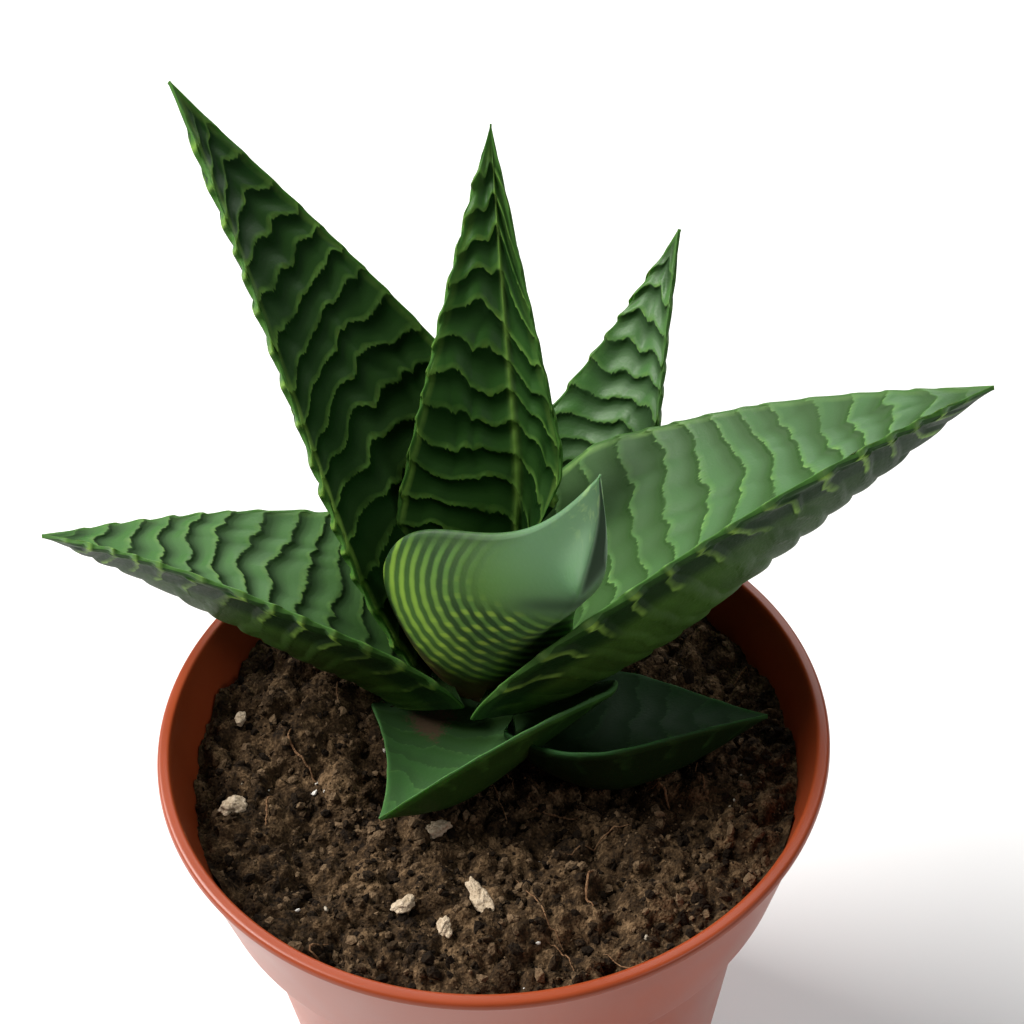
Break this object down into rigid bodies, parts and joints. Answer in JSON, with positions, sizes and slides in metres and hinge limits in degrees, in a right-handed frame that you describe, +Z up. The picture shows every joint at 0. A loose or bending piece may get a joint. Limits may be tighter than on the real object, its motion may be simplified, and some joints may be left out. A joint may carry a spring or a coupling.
{
  "type": "potted haworthia",
  "caption": "Small succulent rosette of cross-ridged dark green leaves in a round tapered plastic nursery pot filled with soil.",
  "frame": {"origin": "centre of the pot's underside, on the plane it stands on", "axes": "+Z up along the pot's axis; -Y towards the plant's open side, where the young leaf curls; +X to its right"},
  "size_m": [0.128, 0.1046, 0.1454],
  "materials": {
    "pot": "satin terracotta-coloured plastic",
    "soil": "moist crumbly potting soil",
    "chip": "dry pale bark and grit",
    "stem": "dry brown stem skin",
    "leaf": "waxy dark green leaf skin",
    "young_leaf": "waxy banded green leaf skin"
  },
  "bodies": {
    "root": {"pot": "pot", "soil": "soil", "chip_front": "chip", "chip_front_small": "chip", "chip_left_front": "chip", "chip_left": "chip", "chip_under_leaf": "chip", "chip_left_back": "chip", "stem": "stem", "leaf_young_front": "young_leaf", "leaf_long_right": "leaf", "leaf_spread_left": "leaf", "leaf_upright_middle": "leaf", "leaf_tall_left": "leaf", "leaf_small_back": "leaf", "leaf_low_front": "leaf", "leaf_low_right": "leaf"}
  },
  "joints": []
}
